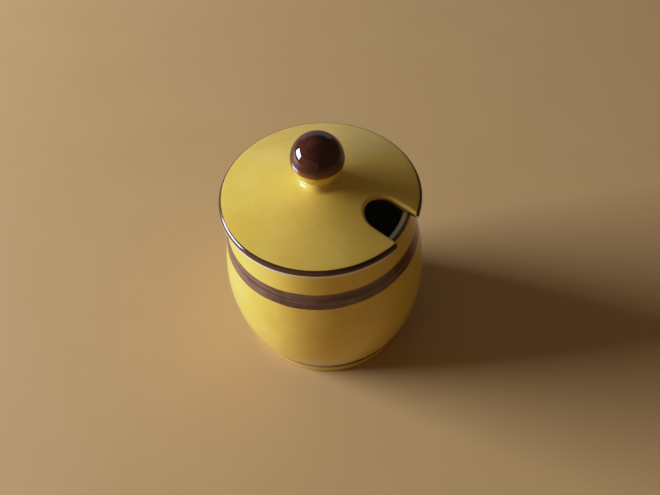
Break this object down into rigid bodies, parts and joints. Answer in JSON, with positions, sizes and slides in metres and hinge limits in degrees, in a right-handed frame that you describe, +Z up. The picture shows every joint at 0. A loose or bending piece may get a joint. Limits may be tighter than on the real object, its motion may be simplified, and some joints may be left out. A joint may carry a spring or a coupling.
{
  "type": "lidded jam pot",
  "caption": "Barrel-shaped glazed earthenware jam or mustard pot with a loose lid, ball knob and spoon notch.",
  "frame": {"origin": "centre of the foot ring, on the surface the pot stands on", "axes": "+Z up along the pot's turning axis, +X towards the lid's spoon notch"},
  "size_m": [0.0942, 0.0942, 0.1213],
  "materials": {
    "yellow_glazed_pot": "glossy",
    "yellow_glazed_lid": "glossy",
    "brown_glazed_knob": "glossy"
  },
  "bodies": {
    "pot": {"pot": "yellow_glazed_pot"},
    "lid": {"lid": "yellow_glazed_lid", "lid_knob": "brown_glazed_knob"}
  },
  "joints": [
    {"name": "lid_lift", "type": "slide", "parent": "pot", "child": "lid", "axis": [0, 0, 1], "range_m": [0, 0.08]}
  ]
}
